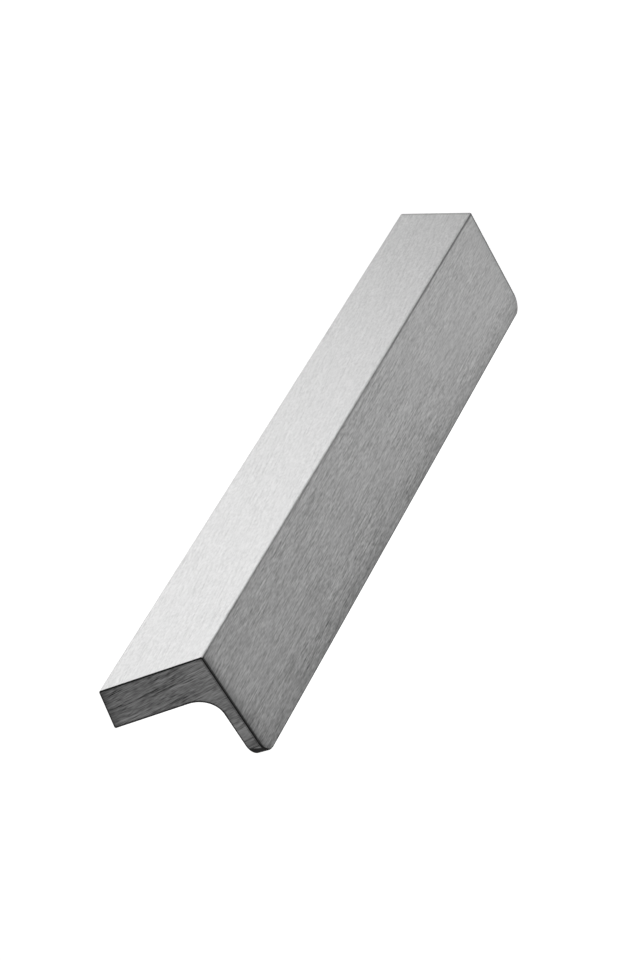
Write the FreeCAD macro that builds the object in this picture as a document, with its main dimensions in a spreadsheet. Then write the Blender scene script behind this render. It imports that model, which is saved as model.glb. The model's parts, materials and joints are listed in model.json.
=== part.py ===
import FreeCAD, Part
import math
import os

import Sketcher

# Edge pull: one length of metal bar with an L section.
# A thick arm stands out from the door edge and a thin flange hangs from the arm's front edge.
# Millimetres and degrees. In the body's own axes X runs along the bar from its middle,
# Y runs from the apex edge back to the mounting face, and Z = 0 is the arm's top face.
# The placement at the end lays the bar down as it lies unheld: apex up, on its two lower edges.

SIZES = {
    "overall_length": (200.0, "length of the rear edge, the longest, from end to end"),
    "end_flare": (20.0, "angle by which each end opens towards the mounting face"),
    "arm_depth": (20.0, "apex edge to mounting face"),
    "arm_thickness": (8.6, "thickness of the arm, and height of the mounting face"),
    "flange_drop": (24.8, "vertical drop of the flange below the arm's top face"),
    "flange_thickness": (2.6, "thickness of the flange"),
    "flange_lean": (9.5, "angle by which the flange leans out from the door"),
    "tip_slope": (14.0, "angle by which the flange's tip rises towards its inner side"),
    "inner_radius": (5.5, "concave radius between arm and flange, where the finger pulls"),
    "corner_radius": (3.5, "radius of the flange's two lower corners"),
    "edge_radius": (0.4, "softening of every sharp edge"),
    "hole_spacing": (160.0, "distance between the two screw holes"),
    "hole_diameter": (3.3, "tapping drill for an M4 screw"),
    "hole_depth": (12.0, "depth of the full bore, without its drill point"),
    "hole_mouth_diameter": (4.4, "diameter of the countersink that starts the screw"),
    "drill_point_angle": (118.0, "point of the tapping drill"),
    "countersink_angle": (90.0, "angle of the countersink"),
    "cut_margin": (2.0, "how far the bar and its end cuts run past each other"),
}

# Share by which the volume that the screw holes take out may differ from the one worked out
VOLUME_TOLERANCE = 0.01

doc = FreeCAD.newDocument("edge_pull")
sheet = doc.addObject("Spreadsheet::Sheet", "sizes")
for row, (alias, (value, meaning)) in enumerate(SIZES.items(), start=1):
    sheet.set("A%d" % row, alias.replace("_", " "))
    sheet.set("B%d" % row, str(value))
    sheet.set("C%d" % row, meaning)
    sheet.setAlias("B%d" % row, alias)
doc.recompute()


def size(alias):
    return float(sheet.get(alias))


def origin_plane(body, role):
    return next(feature for feature in body.Origin.OriginFeatures if feature.Role == role)


def new_sketch(body, name, plane_role):
    sketch = body.newObject("Sketcher::SketchObject", name)
    sketch.AttachmentSupport = [(origin_plane(body, plane_role), "")]
    sketch.MapMode = "FlatFace"
    return sketch


def add_outline(sketch, corners):
    """Closed outline of straight lines through the corners; line i starts at corner i."""
    count = len(corners)
    for index in range(count):
        start = FreeCAD.Vector(*corners[index], 0)
        end = FreeCAD.Vector(*corners[(index + 1) % count], 0)
        sketch.addGeometry(Part.LineSegment(start, end), False)
    for index in range(count):
        sketch.addConstraint(Sketcher.Constraint("Coincident", index, 2, (index + 1) % count, 1))


def bind(sketch, name, constraint, expression):
    """Adds a driving dimension to the sketch and ties it to the sheet."""
    index = sketch.addConstraint(constraint)
    sketch.renameConstraint(index, name)
    sketch.setExpression("Constraints." + name, expression)


def edge_names(shape, wanted):
    return ["Edge%d" % (index + 1) for index, edge in enumerate(shape.Edges) if wanted(edge)]


def faces_meet_sharply(shape, edge, least_turn=15.0):
    """True where the two faces beside the edge turn by more than least_turn degrees."""
    middle = edge.valueAt(0.5 * (edge.FirstParameter + edge.LastParameter))
    normals = []
    for face in shape.ancestorsOfType(edge, Part.Face):
        u, v = face.Surface.parameter(middle)
        normals.append(face.normalAt(u, v))
    turn = math.degrees(normals[0].getAngle(normals[1]))
    return turn > least_turn


body = doc.addObject("PartDesign::Body", "pull_bar")
body.Label = "pull_bar"

# Section of the bar, drawn from the apex edge
section = new_sketch(body, "section", "YZ_Plane")
lean = math.radians(size("flange_lean"))
tip_y = -size("flange_drop") * math.tan(lean)
tip_z = -size("flange_drop")
tip_rise = size("flange_thickness") * math.tan(math.radians(size("tip_slope")))
inner_tip_y = tip_y + size("flange_thickness") * math.cos(lean) + tip_rise * math.sin(lean)
inner_tip_z = tip_z - size("flange_thickness") * math.sin(lean) + tip_rise * math.cos(lean)
inner_corner_y = inner_tip_y - (inner_tip_z + size("arm_thickness")) * math.tan(lean)
TOP, REAR, UNDERSIDE, FLANGE_INNER, FLANGE_TIP, FLANGE_FRONT = range(6)
add_outline(
    section,
    [
        (0, 0),
        (size("arm_depth"), 0),
        (size("arm_depth"), -size("arm_thickness")),
        (inner_corner_y, -size("arm_thickness")),
        (inner_tip_y, inner_tip_z),
        (tip_y, tip_z),
    ],
)
section.addConstraint(Sketcher.Constraint("Coincident", TOP, 1, -1, 1))
section.addConstraint(Sketcher.Constraint("Horizontal", TOP))
section.addConstraint(Sketcher.Constraint("Vertical", REAR))
section.addConstraint(Sketcher.Constraint("Horizontal", UNDERSIDE))
section.addConstraint(Sketcher.Constraint("Parallel", FLANGE_INNER, FLANGE_FRONT))
bind(section, "depth",
     Sketcher.Constraint("DistanceX", TOP, 1, TOP, 2, size("arm_depth")),
     "sizes.arm_depth")
bind(section, "thickness",
     Sketcher.Constraint("DistanceY", REAR, 2, REAR, 1, size("arm_thickness")),
     "sizes.arm_thickness")
bind(section, "flange",
     Sketcher.Constraint("Distance", FLANGE_TIP, 1, FLANGE_FRONT, size("flange_thickness")),
     "sizes.flange_thickness")
bind(section, "tip",
     Sketcher.Constraint("Angle", FLANGE_FRONT, 1, FLANGE_TIP, 2, math.radians(size("tip_slope") - 90)),
     "(sizes.tip_slope - 90) * 1 deg")
bind(section, "drop",
     Sketcher.Constraint("DistanceY", FLANGE_FRONT, 1, FLANGE_FRONT, 2, -tip_z),
     "sizes.flange_drop")
bind(section, "lean",
     Sketcher.Constraint("DistanceX", FLANGE_FRONT, 1, FLANGE_FRONT, 2, -tip_y),
     "sizes.flange_drop * tan(sizes.flange_lean * 1 deg)")

# Bar, longer than the pull by the margin of the end cuts
bar = body.newObject("PartDesign::Pad", "bar")
bar.Profile = section
bar.SideType = "Symmetric"
bar.setExpression("Length", "sizes.overall_length + 2 * sizes.cut_margin")
section.Visibility = False
doc.recompute()

# Concave radius between arm and flange
inner_corner = FreeCAD.Vector(0, inner_corner_y, -size("arm_thickness"))
inner_fillet = body.newObject("PartDesign::Fillet", "inner_fillet")
inner_fillet.Base = (
    bar,
    edge_names(bar.Shape, lambda edge: edge.CenterOfMass.isEqual(inner_corner, 1e-3)),
)
inner_fillet.setExpression("Radius", "sizes.inner_radius")
doc.recompute()

# End cuts: each end opens towards the mounting face, so the rear edge is the longest
end_plan = new_sketch(body, "end_plan", "XY_Plane")
flare = math.tan(math.radians(size("end_flare")))
front_reach = -tip_y + size("cut_margin")
rear_reach = size("arm_depth") + size("cut_margin")
front_half = 0.5 * size("overall_length") - (size("arm_depth") + front_reach) * flare
rear_half = 0.5 * size("overall_length") + size("cut_margin") * flare
outer_half = 0.5 * size("overall_length") + 2 * size("cut_margin")
SLANT, FRONT, OUTER, BACK = range(4)
add_outline(
    end_plan,
    [
        (rear_half, rear_reach),
        (front_half, -front_reach),
        (outer_half, -front_reach),
        (outer_half, rear_reach),
    ],
)
end_plan.addConstraint(Sketcher.Constraint("Horizontal", FRONT))
end_plan.addConstraint(Sketcher.Constraint("Vertical", OUTER))
end_plan.addConstraint(Sketcher.Constraint("Horizontal", BACK))
bind(end_plan, "front_reach",
     Sketcher.Constraint("DistanceY", SLANT, 2, -1, 1, front_reach),
     "sizes.flange_drop * tan(sizes.flange_lean * 1 deg) + sizes.cut_margin")
bind(end_plan, "rear_reach",
     Sketcher.Constraint("DistanceY", -1, 1, SLANT, 1, rear_reach),
     "sizes.arm_depth + sizes.cut_margin")
bind(end_plan, "front_half",
     Sketcher.Constraint("DistanceX", -1, 1, SLANT, 2, front_half),
     "sizes.overall_length / 2 * 1 mm"
     " - (sizes.arm_depth * 1 mm + Constraints.front_reach) * tan(sizes.end_flare * 1 deg)")
bind(end_plan, "rear_half",
     Sketcher.Constraint("DistanceX", -1, 1, SLANT, 1, rear_half),
     "sizes.overall_length / 2 + sizes.cut_margin * tan(sizes.end_flare * 1 deg)")
bind(end_plan, "outer_half",
     Sketcher.Constraint("DistanceX", -1, 1, OUTER, 1, outer_half),
     "sizes.overall_length / 2 + 2 * sizes.cut_margin")

end_cut = body.newObject("PartDesign::Pocket", "end_cut")
end_cut.Profile = end_plan
end_cut.Type = "ThroughAll"
end_plan.Visibility = False
doc.recompute()

end_cuts = body.newObject("PartDesign::Mirrored", "end_cuts")
end_cuts.Originals = [end_cut]
end_cuts.MirrorPlane = (origin_plane(body, "YZ_Plane"), [""])
body.Tip = end_cuts
doc.recompute()

# Rounded lower corners of the flange, through its thickness
corner_radii = body.newObject("PartDesign::Fillet", "corner_radii")
corner_radii.Base = (
    end_cuts,
    edge_names(
        end_cuts.Shape,
        lambda edge: edge.CenterOfMass.z < tip_z + 0.5 * size("flange_thickness")
        and edge.Length < 2 * size("flange_thickness"),
    ),
)
corner_radii.setExpression("Radius", "sizes.corner_radius")
doc.recompute()

# Every sharp edge is softened
softening = body.newObject("PartDesign::Fillet", "softening")
softening.Base = (
    corner_radii,
    edge_names(corner_radii.Shape, lambda edge: faces_meet_sharply(corner_radii.Shape, edge)),
)
softening.setExpression("Radius", "sizes.edge_radius")
doc.recompute()

# Two blind screw holes in the mounting face, on the arm's middle line
hole_centres = new_sketch(body, "hole_centres", "XZ_Plane")
hole_centres.setExpression("AttachmentOffset.Base.z", "-sizes.arm_depth")
hole_x = 0.5 * size("hole_spacing")
hole_z = -0.5 * size("arm_thickness")
bore_radius = 0.5 * size("hole_diameter")
for index, x in enumerate((-hole_x, hole_x)):
    circle = Part.Circle(FreeCAD.Vector(x, hole_z, 0), FreeCAD.Vector(0, 0, 1), bore_radius)
    hole_centres.addGeometry(circle, False)
    bind(hole_centres, "height_%d" % index,
         Sketcher.Constraint("DistanceY", index, 3, -1, 1, -hole_z),
         "sizes.arm_thickness / 2")
    bind(hole_centres, "radius_%d" % index,
         Sketcher.Constraint("Radius", index, bore_radius),
         "sizes.hole_diameter / 2")
bind(hole_centres, "left",
     Sketcher.Constraint("DistanceX", 0, 3, -1, 1, hole_x),
     "sizes.hole_spacing / 2")
bind(hole_centres, "right",
     Sketcher.Constraint("DistanceX", -1, 1, 1, 3, hole_x),
     "sizes.hole_spacing / 2")
doc.recompute()

solid_volume = softening.Shape.Volume
holes = body.newObject("PartDesign::Hole", "holes")
holes.Profile = hole_centres
doc.recompute()
holes.Threaded = False
holes.ThreadType = "None"
holes.Reversed = True
holes.setExpression("Diameter", "sizes.hole_diameter")
holes.DepthType = "Dimension"
holes.setExpression("Depth", "sizes.hole_depth")
holes.DrillPoint = "Angled"
holes.setExpression("DrillPointAngle", "sizes.drill_point_angle")
holes.HoleCutType = "Countersink"
holes.setExpression("HoleCutDiameter", "sizes.hole_mouth_diameter")
holes.setExpression("HoleCutCountersinkAngle", "sizes.countersink_angle")
hole_centres.Visibility = False
body.Tip = holes
doc.recompute()

# Each hole takes out its bore, its drill point and the ring of its countersink
mouth_radius = 0.5 * size("hole_mouth_diameter")
mouth_depth = (mouth_radius - bore_radius) / math.tan(math.radians(0.5 * size("countersink_angle")))
mouth_cone = mouth_radius ** 2 + mouth_radius * bore_radius + bore_radius ** 2
point_depth = bore_radius / math.tan(math.radians(0.5 * size("drill_point_angle")))
bore = bore_radius ** 2 * (size("hole_depth") - mouth_depth + point_depth / 3)
hole_volume = math.pi * (bore + mouth_cone * mouth_depth / 3)
removed = solid_volume - body.Shape.Volume
if abs(removed - 2 * hole_volume) > VOLUME_TOLERANCE * hole_volume:
    raise RuntimeError("the screw holes removed %.2f mm3, not %.2f" % (removed, 2 * hole_volume))

# The bar lies on the arm's rear lower edge and the flange's inner tip, with its apex up.
# Both edges have the same radius, so the floor runs parallel to the line through their centres.
# The flange's inner tip is wider than a right angle by the slope of the tip.
soft = size("edge_radius")
rear_centre = (size("arm_depth") - soft, -size("arm_thickness") + soft)
tip_setback = soft / math.tan(math.radians(0.5 * (90 + size("tip_slope"))))
tip_centre = (
    inner_tip_y - soft * math.cos(lean) + tip_setback * math.sin(lean),
    inner_tip_z + soft * math.sin(lean) + tip_setback * math.cos(lean),
)
lie_angle = math.degrees(math.atan2(rear_centre[1] - tip_centre[1], rear_centre[0] - tip_centre[0]))
lie_down = FreeCAD.Rotation(FreeCAD.Vector(1, 0, 0), -lie_angle)
body.Placement = FreeCAD.Placement(FreeCAD.Vector(0, 0, 0), lie_down)
doc.recompute()
box = body.Shape.optimalBoundingBox(False)
body.Placement = FreeCAD.Placement(
    FreeCAD.Vector(0, -0.5 * (box.YMin + box.YMax), -box.ZMin), lie_down
)
doc.recompute()

for item in doc.Objects:
    if "Invalid" in item.State or "Error" in item.State:
        raise RuntimeError("%s failed: %s" % (item.Name, item.State))
if body.Shape.isNull() or not body.Shape.isValid() or len(body.Shape.Solids) != 1:
    raise RuntimeError("pull_bar is not one valid solid")

os.makedirs("parts", exist_ok=True)
body.Shape.exportStep("parts/" + body.Label + ".step")

box = body.Shape.optimalBoundingBox(False)
print("lie angle %.3f degrees, volume %.1f mm3" % (lie_angle, body.Shape.Volume))
print("box %.3f %.3f %.3f to %.3f %.3f %.3f" % (box.XMin, box.YMin, box.ZMin, box.XMax, box.YMax, box.ZMax))
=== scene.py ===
import json
import math

import bpy
from mathutils import Matrix, Vector

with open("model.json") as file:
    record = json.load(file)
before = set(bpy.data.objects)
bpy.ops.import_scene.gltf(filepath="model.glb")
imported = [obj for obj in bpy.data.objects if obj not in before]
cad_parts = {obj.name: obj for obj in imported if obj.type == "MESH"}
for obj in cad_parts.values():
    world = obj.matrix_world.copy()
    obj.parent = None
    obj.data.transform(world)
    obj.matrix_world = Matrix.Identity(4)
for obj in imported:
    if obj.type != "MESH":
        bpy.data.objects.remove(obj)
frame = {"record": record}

SCENE = bpy.context.scene


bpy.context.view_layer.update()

# Sizes of the bar in metres, and its angles
OVERALL_LENGTH = 0.200
END_FLARE = math.radians(20.0)
ARM_DEPTH = 0.020
ARM_THICKNESS = 0.0086
FLANGE_DROP = 0.0248
FLANGE_THICKNESS = 0.0026
FLANGE_LEAN = math.radians(9.5)
INNER_RADIUS = 0.0055
HOLE_SPACING = 0.160
HOLE_DEPTH = 0.012
HOLE_END = ARM_DEPTH - HOLE_DEPTH
THREAD_PITCH = 0.0007
THREAD_HEIGHT = 0.00035

# The bar's own axes: X along it from its middle, Y from the apex edge to the mounting face,
# and Z = 0 on the arm's top face. The frame lays the bar down, turned about X.
MOUNTS = {mount["name"]: mount for mount in frame["record"]["mounts"]}
REAR_AXIS = Vector(MOUNTS["mounting_face"]["axis"])
REAR_MIDDLE = Vector((0.0, ARM_DEPTH, -0.5 * ARM_THICKNESS))
LIE_ANGLE = math.atan2(-REAR_AXIS.z, REAR_AXIS.y)
TO_FLOOR = Matrix.Rotation(-LIE_ANGLE, 3, "X")
BAR_ORIGIN = Vector(MOUNTS["mounting_face"]["pos_m"]) - TO_FLOOR @ REAR_MIDDLE
FRONT_NORMAL = Vector((0.0, -math.cos(FLANGE_LEAN), math.sin(FLANGE_LEAN)))

# The photograph's camera, in the bar's own axes
CAMERA_PLACE = Vector((-0.734997, -0.384293, 0.355841))
CAMERA_RIGHT = Vector((0.305231, -0.887831, -0.344370))
CAMERA_LOOK = Vector((0.805119, 0.433717, -0.404566))
SENSOR_MM = 36.0
LENS_MM = 162.609
CLIP_NEAR = 0.01
CLIP_FAR = 100.0

# Brushing in layers of streaks: length and width in metres, the noise where each begins and ends
# its change, and its tone there. Soft strokes change slowly, and single lines cut in sharply.
TOP_BRUSHING = (
    (0.0030, 0.00058, 0.20, 0.80, -0.080, 0.080),
    (0.0120, 0.00064, 0.20, 0.80, -0.050, 0.050),
    (0.0008, 0.00036, 0.20, 0.80, -0.115, 0.115),
    (0.0120, 0.00030, 0.64, 0.72, 0.000, -0.160),
)
FLANGE_BRUSHING = (
    (0.0026, 0.00033, 0.20, 0.80, -0.084, 0.084),
    (0.0100, 0.00036, 0.20, 0.80, -0.052, 0.052),
    (0.0012, 0.00024, 0.20, 0.80, -0.092, 0.092),
    (0.0110, 0.00026, 0.61, 0.68, 0.000, -0.115),
)
END_BRUSHING = (
    (0.0022, 0.00028, 0.20, 0.80, -0.062, 0.062),
    (0.0080, 0.00030, 0.20, 0.80, -0.040, 0.040),
    (0.0012, 0.00019, 0.20, 0.80, -0.085, 0.085),
    (0.0080, 0.00026, 0.58, 0.66, 0.000, -0.120),
    (0.0060, 0.00022, 0.62, 0.70, 0.000, 0.120),
)

# Turns of the brushing about the bar's axes, and the shift in metres from one layer to the next
TOP_TURN = (0.0, 0.0, math.radians(5.0))
FLANGE_TURN = (0.0, math.radians(-1.2), 0.0)
END_TURN = (0.0, math.radians(9.5), math.radians(70.0))
NO_TURN = (0.0, 0.0, 0.0)
LAYER_SHIFT = 0.37

# From here on, a ramp is its start and end, with the values there where they aren't 0 and 1.
# It runs over metres on the bar, over the part of the normal that points one way, or over noise.

# Faces of the bar, and the area under the apex on its cut ends
END_FACE = (0.80, 0.93)
FLANGE_FACE = (0.85, 0.97)
OFF_LONG_FACES = (0.02, 0.25)
UNDER_APEX_DEPTH = (0.0065, 0.0020)
UNDER_APEX_HEIGHT = (-0.0115, -0.0080)

# Strength of the brushing: by face, in patches, at the foot, and on areas of the cut ends
TOP_STRENGTH = 0.70
FRONT_STRENGTH = (0.00, 0.06, 1.52, 1.12)
END_STRENGTH = 3.6
PATCH_LENGTH = 0.012
PATCH_WIDTH = 0.005
PATCH_STRENGTH = (0.3, 0.7, 0.88, 1.12)
FOOT_STRENGTH = (0.0100, 0.0020, 1.0, 1.35)
FLANGE_END_STRENGTH = (-0.0070, -0.0120, 1.0, 0.80)
UNDER_APEX_STRENGTH = 0.70
CALM_TOP = (-0.0150, -0.0185)
CALM_BOTTOM = (-0.0225, -0.0205)
CALM_STRENGTH = 0.55

# Level of grey of the long faces and of the cut ends, before any further painted shade
LONG_LEVEL = 0.685
# Painted shade: the cut ends get about a quarter of the long faces' level
END_SHADED_LEVEL = 0.170

# Painted shade on the front: at its foot, up its slope, along the bar and beside the cut ends
FRONT_FOOT = (0.0, 0.0055, 0.76, 1.0)
FRONT_SLOPE = (0.004, 0.016)
FRONT_SLOPE_LOW = (0.01, 0.09, 0.90, 0.97)
FRONT_ALONG = (-0.02, 0.07, 0.93, 1.0)
FRONT_FADE_LENGTH = 0.00175
FRONT_FADE = (0.02, -0.02, 0.2, 0.75)

# Painted light and shade on the cut ends: below the arm, down the flange, at the rear, at the foot, under
# the apex
END_BELOW_ARM = (-0.0060, -0.0110, 1.0, 1.14)
END_DOWN_FLANGE = (-0.0150, -0.0175, 1.0, 1.38)
END_REAR = (0.0, 0.0024, 0.62, 1.0)
END_FOOT = (0.0022, 0.0080, 0.44, 1.0)
UNDER_APEX_LIGHT = 1.22

# Painted shade in dark lines along edges: their bands, and the share of the light that they take
FRONT_BORDER = (0.00080, 0.00035)
FRONT_BORDER_SHARE = 0.80
END_BORDER = (0.00050, 0.00032)
END_BORDER_SHARE = 0.40
APEX_TOP = (-0.00005, -0.00022)
APEX_BOTTOM = (-0.00070, -0.00042)
APEX_TURN = (0.65, 0.90)
APEX_SHARE = (-0.05, 0.10, 0.18, 0.60)
TOP_FACE = (0.80, 0.95)
TOP_BORDER = (0.00140, 0.00060)
TOP_BORDER_HALF = (0.0, 0.02)
TOP_BORDER_SHARE = 0.26

# Softened edges and the flange's rounded corners, painted dull and dark as shade
CORNER_TILT = 0.42
CORNER_HEIGHT = (0.0023, 0.0020)
CORNER_TURN = (0.10, 0.30)
END_RIM = (0.00059, 0.00034)
FOOT_EDGE_DOWN = (0.14, -0.05)
FOOT_EDGE_FORWARD = (-0.02, -0.20)
REAR_EDGE = (0.02, 0.30)
REAR_EDGE_SHADE = 0.4
END_EDGE_LEVEL = 0.03
REAR_EDGE_LEVEL = 0.40
FOOT_EDGE_LEVEL = 0.10

# Threads: how near a screw hole's axis they lie, and the length over which they run out
BORE_WALL = (0.0018, 0.0017)
THREAD_RUNOUT = 0.0005

# Gloss and relief of the metal
LONG_ROUGHNESS = 0.36
END_ROUGHNESS = 0.45
GRAIN_ROUGHNESS = 0.12
GROOVE_STRENGTH = 0.35
GROOVE_DEPTH = 0.00001
ANISOTROPY = 0.8
ANISOTROPY_TURN = 0.25

# The floor and the studio light
WHITE = (1.0, 1.0, 1.0, 1.0)
FLOOR_HALF = 20.0
FLOOR_COLOUR = (0.35, 0.35, 0.35, 1.0)
FLOOR_ROUGHNESS = 0.9
FLOOR_GLOW = 0.975
WORLD_LIGHT = 0.03
PANEL_DISTANCE = 2.0

# Panels: azimuth and elevation in degrees, width and height in metres, radiance
PANELS = {
    "panel_right_outer": (44.2, 13.0, 0.83, 0.85, 1.64),
    "panel_right_inner": (26.5, 13.0, 0.35, 0.85, 0.05),
    "panel_apex": (9.0, 36.0, 1.1, 0.60, 1.15),
    "panel_left_inner": (-29.0, 13.0, 0.63, 0.85, 0.48),
    "panel_left_outer": (-47.0, 13.0, 0.63, 0.85, 0.17),
    "panel_back": (180.0, 30.0, 1.8, 0.8, 0.5),
    "panel_over": (0.0, 90.0, 2.2, 2.2, 0.55),
}


class Nodes:
    """Short forms for building one shader."""

    def __init__(self, name):
        self.material = bpy.data.materials.new(name)
        self.material.use_nodes = True
        self.tree = self.material.node_tree
        self.tree.nodes.clear()

    def add(self, kind, **settings):
        node = self.tree.nodes.new(kind)
        for key, value in settings.items():
            setattr(node, key, value)
        return node

    def put(self, socket, value):
        if isinstance(value, bpy.types.NodeSocket):
            self.tree.links.new(value, socket)
        else:
            socket.default_value = value

    def math(self, operation, a, b=0.0, c=0.0, clamp=False):
        node = self.add("ShaderNodeMath", operation=operation, use_clamp=clamp)
        for socket, value in zip(node.inputs, (a, b, c)):
            self.put(socket, value)
        return node.outputs[0]

    def fold(self, operation, first, *others):
        """The operation taken over all the values, from left to right."""
        for other in others:
            first = self.math(operation, first, other)
        return first

    def plus(self, *values):
        return self.fold("ADD", *values)

    def product(self, *values):
        return self.fold("MULTIPLY", *values)

    def largest(self, *values):
        return self.fold("MAXIMUM", *values)

    def less(self, a, b):
        return self.math("SUBTRACT", a, b)

    def without(self, share):
        """What is left of one."""
        return self.less(1.0, share)

    def divide(self, a, b):
        return self.math("DIVIDE", a, b)

    def absolute(self, a):
        return self.math("ABSOLUTE", a)

    def root(self, a):
        return self.math("SQRT", a)

    def dot(self, a, b):
        node = self.add("ShaderNodeVectorMath", operation="DOT_PRODUCT")
        self.put(node.inputs[0], a)
        self.put(node.inputs[1], b)
        return node.outputs["Value"]

    def split(self, vector):
        node = self.add("ShaderNodeSeparateXYZ")
        self.put(node.inputs[0], vector)
        return node.outputs

    def join(self, x=0.0, y=0.0, z=0.0):
        node = self.add("ShaderNodeCombineXYZ")
        for socket, value in zip(node.inputs, (x, y, z)):
            self.put(socket, value)
        return node.outputs[0]

    def grey(self, level):
        node = self.add("ShaderNodeCombineColor")
        for socket in node.inputs[:3]:
            self.put(socket, level)
        return node.outputs[0]

    def ramp(self, value, start, end, at_start=0.0, at_end=1.0):
        """at_start at the start and at_end at the end, with a smooth step between."""
        node = self.add("ShaderNodeMapRange", interpolation_type="SMOOTHSTEP")
        for socket, number in zip(node.inputs, (value, start, end, at_start, at_end)):
            self.put(socket, number)
        return node.outputs[0]

    def mix(self, factor, a, b):
        node = self.add("ShaderNodeMix", data_type="FLOAT")
        self.put(node.inputs[0], factor)
        self.put(node.inputs[2], a)
        self.put(node.inputs[3], b)
        return node.outputs[0]

    def where(self, share, value):
        """One, and the value where the share is one."""
        return self.mix(share, 1.0, value)

    def streaks(self, place, turn, length, width, shift=0.0):
        """Noise between 0 and 1, drawn out along the turned X axis and shifted along every axis."""
        drawn = self.add("ShaderNodeMapping", vector_type="TEXTURE")
        self.put(drawn.inputs["Vector"], place)
        self.put(drawn.inputs["Location"], (shift, shift, shift))
        self.put(drawn.inputs["Rotation"], turn)
        self.put(drawn.inputs["Scale"], (length, width, width))
        noise = self.add("ShaderNodeTexNoise", noise_dimensions="3D")
        self.put(noise.inputs["Vector"], drawn.outputs[0])
        self.put(noise.inputs["Scale"], 1.0)
        self.put(noise.inputs["Detail"], 0.0)
        return noise.outputs[0]

    def grain(self, place, turn, layers):
        """Brushing about zero, the sum of its layers."""
        total = 0.0
        for number, (length, width, *change) in enumerate(layers):
            noise = self.streaks(place, turn, length, width, LAYER_SHIFT * number)
            total = self.plus(self.ramp(noise, *change), total)
        return total

    def bump(self, height, **inputs):
        """The normal with this height raised on it."""
        node = self.add("ShaderNodeBump")
        self.put(node.inputs["Height"], height)
        for name, value in inputs.items():
            self.put(node.inputs[name], value)
        return node.outputs[0]

    def surface(self, inputs):
        """A principled shader with these inputs as the material's surface."""
        shader = self.add("ShaderNodeBsdfPrincipled")
        for name, value in inputs.items():
            self.put(shader.inputs[name], value)
        out = self.add("ShaderNodeOutputMaterial")
        self.put(out.inputs["Surface"], shader.outputs[0])


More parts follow.
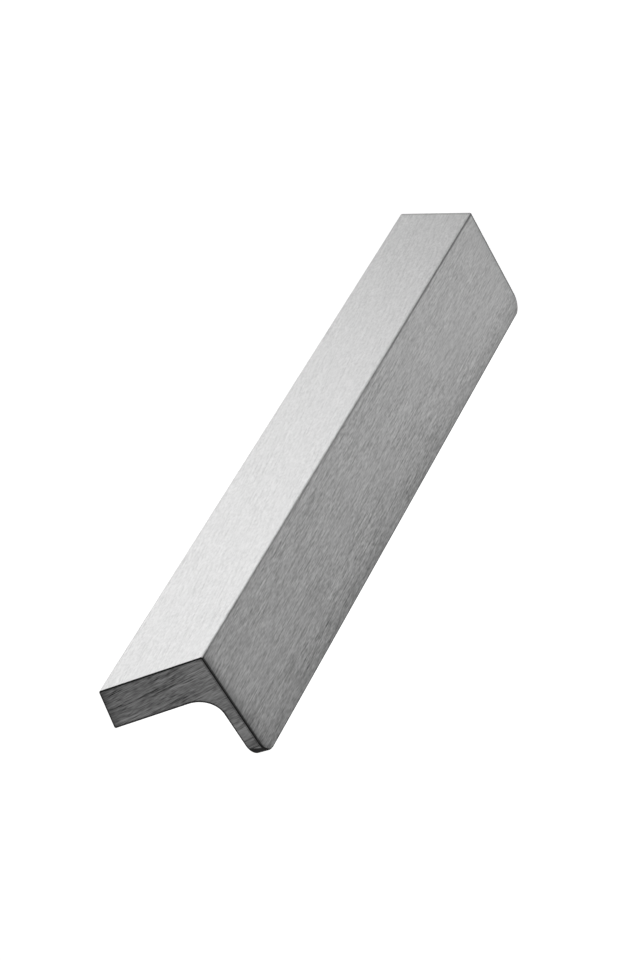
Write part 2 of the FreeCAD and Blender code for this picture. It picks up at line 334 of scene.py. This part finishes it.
class BrushedMetal(Nodes):
    """The bar's metal, with painted light and shade, drawn by where on the bar each point lies."""

    def __init__(self):
        super().__init__("brushed_metal")
        self.find_place()
        self.find_faces()
        self.find_distances()
        self.under_apex = self.product(
            self.ramp(self.from_front, *UNDER_APEX_DEPTH),
            self.ramp(self.z, *UNDER_APEX_HEIGHT),
            self.is_end,
        )
        self.paint()

    def find_place(self):
        """Each point and its normal, in the bar's own axes."""
        coords = self.add("ShaderNodeTexCoord")
        own = self.add("ShaderNodeMapping", vector_type="TEXTURE")
        self.put(own.inputs["Vector"], coords.outputs["Object"])
        self.put(own.inputs["Location"], BAR_ORIGIN)
        self.put(own.inputs["Rotation"], (-LIE_ANGLE, 0.0, 0.0))
        self.place = own.outputs[0]
        self.x, self.y, self.z = self.split(self.place)
        turned = self.add("ShaderNodeVectorRotate", rotation_type="X_AXIS")
        self.put(turned.inputs["Vector"], coords.outputs["Normal"])
        self.put(turned.inputs["Angle"], LIE_ANGLE)
        self.normal = turned.outputs[0]
        self.normal_x, self.normal_y, self.normal_z = self.split(self.normal)

    def find_faces(self):
        """How far each point belongs to a cut end, to either side of the flange and to its front."""
        self.end_turn = self.absolute(self.normal_x)
        self.is_end = self.ramp(self.end_turn, *END_FACE)
        self.front_turn = self.dot(self.normal, FRONT_NORMAL)
        self.is_flange = self.ramp(self.absolute(self.front_turn), *FLANGE_FACE)
        self.is_front = self.ramp(self.front_turn, *FLANGE_FACE)

    def find_distances(self):
        """Distances from the bar's middle, the nearer cut end, the foot, the front and the rear."""
        flare = math.tan(END_FLARE)
        half_at_apex = 0.5 * OVERALL_LENGTH - ARM_DEPTH * flare
        half_length = self.math("MULTIPLY_ADD", self.y, flare, half_at_apex)
        self.from_middle = self.absolute(self.x)
        self.from_end = self.product(self.less(half_length, self.from_middle), math.cos(END_FLARE))
        self.from_foot = self.plus(self.z, FLANGE_DROP)
        self.from_front = self.dot(self.place, -FRONT_NORMAL)
        self.from_rear = self.less(ARM_DEPTH, self.y)

    def from_inner_side(self):
        """Distance from the concave inner side, with its radius."""
        above = self.largest(self.plus(self.z, ARM_THICKNESS + INNER_RADIUS), 0.0)
        ahead = self.largest(self.less(FLANGE_THICKNESS + INNER_RADIUS, self.from_front), 0.0)
        squares = self.plus(self.product(above, above), self.product(ahead, ahead))
        leaning = self.product(above, ahead, 2.0 * math.sin(FLANGE_LEAN))
        return self.less(self.root(self.less(squares, leaning)), INNER_RADIUS)

    def brushing(self):
        """Grain about zero: along the bar on the long faces, and coarser and across on the cut ends."""
        on_top = self.grain(self.place, TOP_TURN, TOP_BRUSHING)
        on_flange = self.grain(self.place, FLANGE_TURN, FLANGE_BRUSHING)
        both_ends = self.join(self.from_middle, self.y, self.z)
        on_end = self.grain(both_ends, END_TURN, END_BRUSHING)
        return self.mix(self.is_end, self.mix(self.is_flange, on_top, on_flange), on_end)

    def strength(self):
        """How strongly the brushing shows."""
        on_long = self.mix(self.is_front, TOP_STRENGTH, self.ramp(self.x, *FRONT_STRENGTH))
        patches = self.streaks(self.place, NO_TURN, PATCH_LENGTH, PATCH_WIDTH)
        calm = self.product(self.ramp(self.z, *CALM_TOP), self.ramp(self.z, *CALM_BOTTOM), self.is_end)
        return self.product(
            self.mix(self.is_end, on_long, END_STRENGTH),
            self.ramp(patches, *PATCH_STRENGTH),
            self.ramp(self.from_foot, *FOOT_STRENGTH),
            self.where(self.is_end, self.ramp(self.z, *FLANGE_END_STRENGTH)),
            self.where(calm, CALM_STRENGTH),
            self.where(self.under_apex, UNDER_APEX_STRENGTH),
        )

    def front_shading(self):
        """Painted shade: the front darkens towards its foot, its near half and the cut ends."""
        low = self.ramp(self.x, *FRONT_SLOPE_LOW)
        fade = self.math("EXPONENT", self.divide(self.from_end, -FRONT_FADE_LENGTH))
        return self.product(
            self.ramp(self.from_foot, *FRONT_FOOT),
            self.ramp(self.from_foot, *FRONT_SLOPE, low, 1.0),
            self.ramp(self.x, *FRONT_ALONG),
            self.without(self.product(fade, self.ramp(self.x, *FRONT_FADE))),
        )

    def end_shading(self):
        """Painted light and shade: the cut ends lighten under the apex and down the flange, and darken at
        the rear and foot.
        """
        return self.product(
            self.ramp(self.z, *END_BELOW_ARM),
            self.ramp(self.z, *END_DOWN_FLANGE),
            self.where(self.under_apex, UNDER_APEX_LIGHT),
            self.ramp(self.from_rear, *END_REAR),
            self.ramp(self.from_foot, *END_FOOT),
        )

    def end_lines(self):
        """Painted shade: dark lines on both sides of the edge between the front and a cut end."""
        on_front = self.product(self.is_front, self.ramp(self.from_end, *FRONT_BORDER), FRONT_BORDER_SHARE)
        on_end = self.product(self.is_end, self.ramp(self.from_front, *END_BORDER), END_BORDER_SHARE)
        return self.plus(on_front, on_end)

    def apex_line(self):
        """Painted shade: the dark line just under the apex edge, stronger towards the far end."""
        band = self.product(self.ramp(self.z, *APEX_TOP), self.ramp(self.z, *APEX_BOTTOM))
        return self.product(band, self.ramp(self.front_turn, *APEX_TURN), self.ramp(self.x, *APEX_SHARE))

    def top_line(self):
        """Painted shade: the dark line along the top's far end."""
        return self.product(
            self.ramp(self.normal_z, *TOP_FACE),
            self.ramp(self.from_end, *TOP_BORDER),
            self.ramp(self.x, *TOP_BORDER_HALF),
            TOP_BORDER_SHARE,
        )

    def tone(self, grain):
        """Brightness about one: the brushing, and the painted light and shade of each face and of the
        lines along edges.
        """
        return self.product(
            self.math("MULTIPLY_ADD", grain, self.strength(), 1.0),
            self.where(self.is_front, self.front_shading()),
            self.where(self.is_end, self.end_shading()),
            self.without(self.end_lines()),
            self.without(self.apex_line()),
            self.without(self.top_line()),
        )

    def edges(self):
        """How far softened edges and corners are made dull and dark as painted shade, and the mostly dark
        level there.
        """
        off_long = self.ramp(self.end_turn, *OFF_LONG_FACES)
        along = self.without(off_long)
        from_outline = self.math("MINIMUM", self.from_rear, self.from_inner_side())
        end_edge = self.product(off_long, self.without(self.is_end))
        end_rim = self.product(off_long, self.ramp(from_outline, *END_RIM))
        corner_height = self.math("MULTIPLY_ADD", self.from_front, -CORNER_TILT, self.from_foot)
        under_corner = self.product(
            self.ramp(corner_height, *CORNER_HEIGHT), self.ramp(self.end_turn, *CORNER_TURN)
        )
        foot_edge = self.product(
            self.ramp(self.normal_z, *FOOT_EDGE_DOWN), self.ramp(self.normal_y, *FOOT_EDGE_FORWARD), along
        )
        rear_edge = self.product(
            self.ramp(self.normal_z, *REAR_EDGE), self.ramp(self.normal_y, *REAR_EDGE), REAR_EDGE_SHADE
        )
        edge_shade = self.largest(end_edge, end_rim, under_corner, foot_edge, rear_edge)
        off_foot = self.product(along, self.without(foot_edge))
        level = self.mix(off_foot, END_EDGE_LEVEL, REAR_EDGE_LEVEL)
        return edge_shade, self.mix(foot_edge, level, FOOT_EDGE_LEVEL)

    def threads(self):
        """Height of the cut threads in the screw holes, in metres."""
        hole_x = self.less(self.from_middle, 0.5 * HOLE_SPACING)
        hole_z = self.plus(self.z, 0.5 * ARM_THICKNESS)
        around = self.divide(self.math("ARCTAN2", hole_z, hole_x), 2.0 * math.pi)
        winding = self.less(self.divide(self.y, THREAD_PITCH), around)
        off_axis = self.root(self.plus(self.product(hole_x, hole_x), self.product(hole_z, hole_z)))
        return self.product(
            self.ramp(off_axis, *BORE_WALL),
            self.ramp(self.y, HOLE_END, HOLE_END + THREAD_RUNOUT),
            self.math("PINGPONG", winding, 0.5),
            2.0 * THREAD_HEIGHT,
        )

    def paint(self):
        """The metal: brushed faces with painted light and shade, edges dull and dark as painted shade,
        fine grooves and threads.
        """
        grain = self.brushing()
        edge_shade, edge_level = self.edges()
        face_level = self.mix(self.is_end, LONG_LEVEL, END_SHADED_LEVEL)
        face_level = self.math("MULTIPLY", face_level, self.tone(grain), clamp=True)
        roughness = self.mix(self.is_end, LONG_ROUGHNESS, END_ROUGHNESS)
        grooves = self.bump(grain, Strength=GROOVE_STRENGTH, Distance=GROOVE_DEPTH)
        self.surface({
            "Base Color": self.grey(self.mix(edge_shade, face_level, edge_level)),
            "Metallic": self.without(edge_shade),
            "Specular IOR Level": 0.0,
            "Roughness": self.math("MULTIPLY_ADD", grain, GRAIN_ROUGHNESS, roughness, clamp=True),
            "Anisotropic": ANISOTROPY,
            "Anisotropic Rotation": ANISOTROPY_TURN,
            "Tangent": self.join(x=1.0),
            "Normal": self.bump(self.threads(), Distance=1.0, Normal=grooves),
        })


def pale_floor():
    floor = Nodes("pale_floor")
    floor.surface({
        "Base Color": FLOOR_COLOUR,
        "Roughness": FLOOR_ROUGHNESS,
        "Emission Color": WHITE,
        "Emission Strength": FLOOR_GLOW,
    })
    return floor.material


def add_floor():
    signs = ((-1, -1), (1, -1), (1, 1), (-1, 1))
    corners = [(FLOOR_HALF * x, FLOOR_HALF * y, 0.0) for x, y in signs]
    mesh = bpy.data.meshes.new("floor")
    mesh.from_pydata(corners, [], [(0, 1, 2, 3)])
    mesh.materials.append(pale_floor())
    floor = bpy.data.objects.new("floor", mesh)
    SCENE.collection.objects.link(floor)


def add_camera():
    data = bpy.data.cameras.new("camera")
    data.sensor_fit = "AUTO"
    data.sensor_width = SENSOR_MM
    data.lens = LENS_MM
    data.clip_start = CLIP_NEAR
    data.clip_end = CLIP_FAR
    camera = bpy.data.objects.new("camera", data)
    SCENE.collection.objects.link(camera)
    right = (TO_FLOOR @ CAMERA_RIGHT).normalized()
    look = (TO_FLOOR @ CAMERA_LOOK).normalized()
    turn = Matrix((right, right.cross(look), -look)).transposed().to_4x4()
    camera.matrix_world = Matrix.Translation(TO_FLOOR @ CAMERA_PLACE + BAR_ORIGIN) @ turn
    SCENE.camera = camera


def add_panel(name, azimuth, elevation, width, height, radiance):
    """A soft panel that faces the part, seen from it at azimuth and elevation in degrees."""
    data = bpy.data.lights.new(name, "AREA")
    data.shape = "RECTANGLE"
    data.size = width
    data.size_y = height
    data.energy = math.pi * width * height * radiance
    light = bpy.data.objects.new(name, data)
    across = math.radians(azimuth)
    up = math.radians(elevation)
    outwards = Vector((math.cos(up) * math.cos(across), math.cos(up) * math.sin(across), math.sin(up)))
    light.location = PANEL_DISTANCE * outwards
    light.rotation_euler = outwards.to_track_quat("Z", "Y").to_euler()
    light.visible_camera = False
    SCENE.collection.objects.link(light)


def set_world():
    world = bpy.data.worlds.new("studio")
    world.use_nodes = True
    background = world.node_tree.nodes["Background"]
    background.inputs["Color"].default_value = WHITE
    background.inputs["Strength"].default_value = WORLD_LIGHT
    SCENE.world = world
    SCENE.view_settings.view_transform = "Standard"


metal = BrushedMetal().material
for slot in bpy.data.objects["pull_bar"].material_slots:
    slot.material = metal

add_camera()
add_floor()
for panel_name, settings in PANELS.items():
    add_panel(panel_name, *settings)
set_world()
